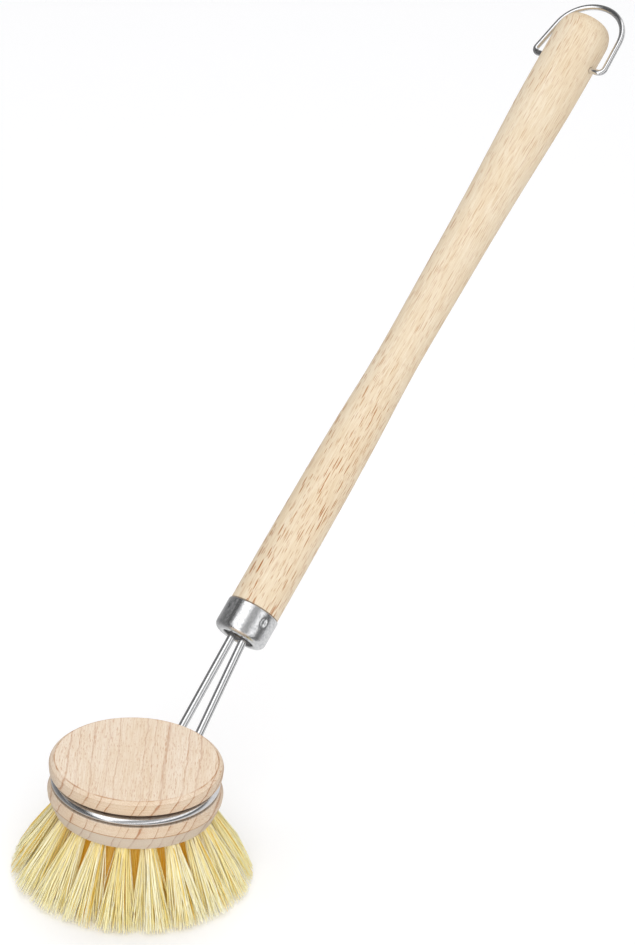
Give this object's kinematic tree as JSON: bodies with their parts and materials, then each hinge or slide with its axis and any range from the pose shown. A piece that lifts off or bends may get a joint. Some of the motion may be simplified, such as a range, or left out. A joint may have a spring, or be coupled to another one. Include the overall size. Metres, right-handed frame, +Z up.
{
  "type": "body dry brush",
  "caption": "Long-handled round brush: a turned wooden handle, a steel ferrule, and a replaceable wooden bristle head that turns in a spring wire ring.",
  "frame": {"origin": "on the head's axis, at the plane of the bristle tips", "axes": "+Z up along the head's axis from the bristle tips to the flat top; +X level, towards the handle's far end; the handle climbs towards +X and +Z"},
  "size_m": [0.2509, 0.0708, 0.2062],
  "materials": {
    "handle_beech": "sanded, unvarnished",
    "head_beech": "sanded, unvarnished",
    "bristle_fibre": "stiff plant fibre, trimmed level",
    "ferrule_steel": "bright plated",
    "wire_steel": "bright drawn",
    "anchor_steel": "plain"
  },
  "bodies": {
    "handle": {"handle": "handle_beech", "ferrule": "ferrule_steel", "head_wire": "wire_steel"},
    "head": {"head_block": "head_beech", "tuft_anchors": "anchor_steel", "tuft_centre": "bristle_fibre", "tuft_inner_1": "bristle_fibre", "tuft_inner_2": "bristle_fibre", "tuft_inner_3": "bristle_fibre", "tuft_inner_4": "bristle_fibre", "tuft_inner_5": "bristle_fibre", "tuft_inner_6": "bristle_fibre", "tuft_middle_1": "bristle_fibre", "tuft_middle_2": "bristle_fibre", "tuft_middle_3": "bristle_fibre", "tuft_middle_4": "bristle_fibre", "tuft_middle_5": "bristle_fibre", "tuft_middle_6": "bristle_fibre", "tuft_middle_7": "bristle_fibre", "tuft_middle_8": "bristle_fibre", "tuft_middle_9": "bristle_fibre", "tuft_middle_10": "bristle_fibre", "tuft_middle_11": "bristle_fibre", "tuft_middle_12": "bristle_fibre", "tuft_outer_1": "bristle_fibre", "tuft_outer_2": "bristle_fibre", "tuft_outer_3": "bristle_fibre", "tuft_outer_4": "bristle_fibre", "tuft_outer_5": "bristle_fibre", "tuft_outer_6": "bristle_fibre", "tuft_outer_7": "bristle_fibre", "tuft_outer_8": "bristle_fibre", "tuft_outer_9": "bristle_fibre", "tuft_outer_10": "bristle_fibre", "tuft_outer_11": "bristle_fibre", "tuft_outer_12": "bristle_fibre", "tuft_outer_13": "bristle_fibre", "tuft_outer_14": "bristle_fibre", "tuft_outer_15": "bristle_fibre", "tuft_outer_16": "bristle_fibre", "tuft_outer_17": "bristle_fibre", "tuft_outer_18": "bristle_fibre"},
    "hang_loop": {"hang_loop": "wire_steel"}
  },
  "joints": [
    {"name": "head_spin", "type": "hinge", "parent": "handle", "child": "head", "pos_m": [0, 0, 0.0317], "axis": [0, 0, 1], "continuous": true},
    {"name": "loop_swing", "type": "hinge", "parent": "handle", "child": "hang_loop", "pos_m": [0.19696, 0.002, 0.19226], "axis": [0, 1, 0], "range_deg": [-159, 141]}
  ]
}
